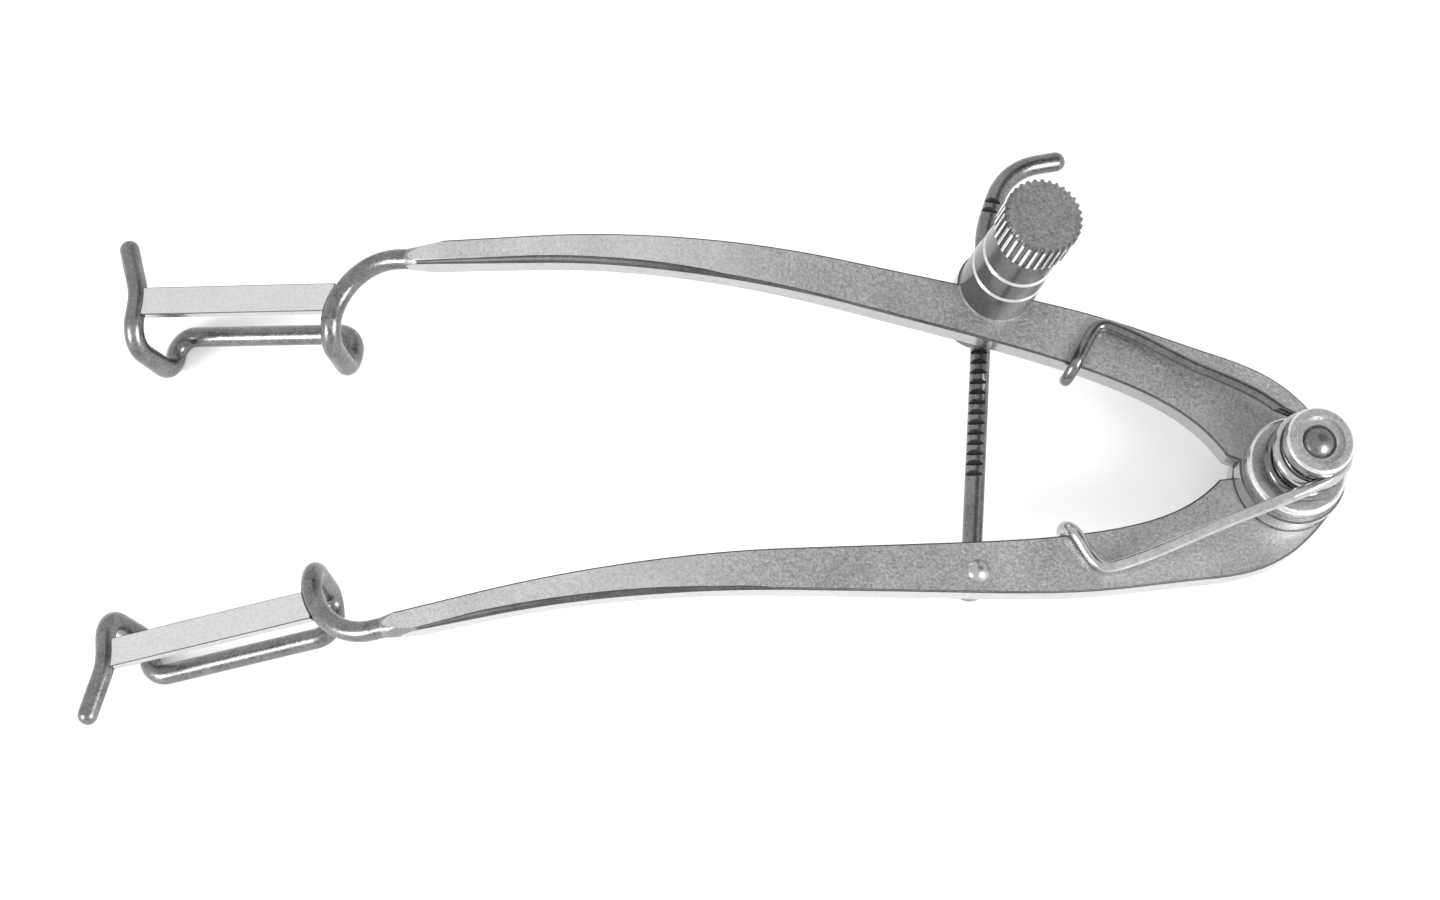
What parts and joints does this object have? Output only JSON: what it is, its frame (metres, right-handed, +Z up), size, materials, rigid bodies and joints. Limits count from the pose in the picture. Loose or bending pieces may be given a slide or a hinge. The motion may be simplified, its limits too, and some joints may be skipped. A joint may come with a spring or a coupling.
{
  "type": "eye speculum",
  "caption": "Self-retaining eye speculum in satin stainless steel: arched arms on a sprung hinge, wire blades with lash plates, and a notched locking rod with a thumb screw.",
  "frame": {"origin": "centre of the hinge foot's flat underside", "axes": "+X along the instrument, from the blades to the hinge; +Y across it, towards the arm that carries the thumb screw; +Z up from the table that it lies on"},
  "size_m": [0.0764, 0.0361, 0.0216],
  "materials": {
    "satin_steel": "fine satin",
    "wire_steel": "smooth satin",
    "plate_steel": "pale matt",
    "knob_steel": "grained top, knurled side"
  },
  "bodies": {
    "lower_arm": {"lower_arm": "satin_steel", "lower_blade_wire": "wire_steel", "lower_lash_plate": "plate_steel", "pivot_foot": "satin_steel", "pivot_rivet": "satin_steel", "pivot_boss": "satin_steel", "pivot_cap": "satin_steel", "spring_lower_half": "wire_steel", "rod_pin": "satin_steel"},
    "upper_arm": {"upper_arm": "satin_steel", "upper_blade_wire": "wire_steel", "upper_lash_plate": "plate_steel", "spring_upper_half": "wire_steel"},
    "rod": {"notched_rod": "wire_steel"},
    "swivel": {"swivel_post": "satin_steel", "barrel_base": "satin_steel", "barrel_ring_lower": "satin_steel", "barrel_ring_upper": "satin_steel"},
    "collar": {"barrel_collar": "satin_steel"},
    "thumb": {"thumb_screw": "satin_steel", "thumb_knob": "knob_steel"}
  },
  "joints": [
    {"name": "spread", "type": "hinge", "parent": "lower_arm", "child": "upper_arm", "pos_m": [0.00075, 0, 0.00207], "axis": [-0.3407, 0, -0.9402], "range_deg": [-10.5, 6.5]},
    {"name": "rod_swing", "type": "hinge", "parent": "lower_arm", "child": "rod", "pos_m": [-0.01753, -0.0079, 0.00651], "axis": [-0.3407, 0, -0.9402], "range_deg": [-5.71, 3.57]},
    {"name": "post_swivel", "type": "hinge", "parent": "upper_arm", "child": "swivel", "pos_m": [-0.01655, 0.0096, 0.00834], "axis": [-0.3407, 0, -0.9402], "range_deg": [-3.13, 5]},
    {"name": "screw_lift", "type": "slide", "parent": "swivel", "child": "collar", "axis": [0.3407, 0, 0.9402], "range_m": [0, 0.001]},
    {"name": "screw_turn", "type": "hinge", "parent": "collar", "child": "thumb", "pos_m": [-0.01321, 0.0096, 0.01755], "axis": [0.3407, 0, 0.9402], "range_deg": [0, 720]}
  ],
  "couplings": [
    {"joint": "rod_swing", "follows": "spread", "ratio": 0.5338},
    {"joint": "post_swivel", "follows": "spread", "ratio": -0.4662},
    {"joint": "screw_turn", "follows": "screw_lift", "rad_per_m": 12560}
  ]
}
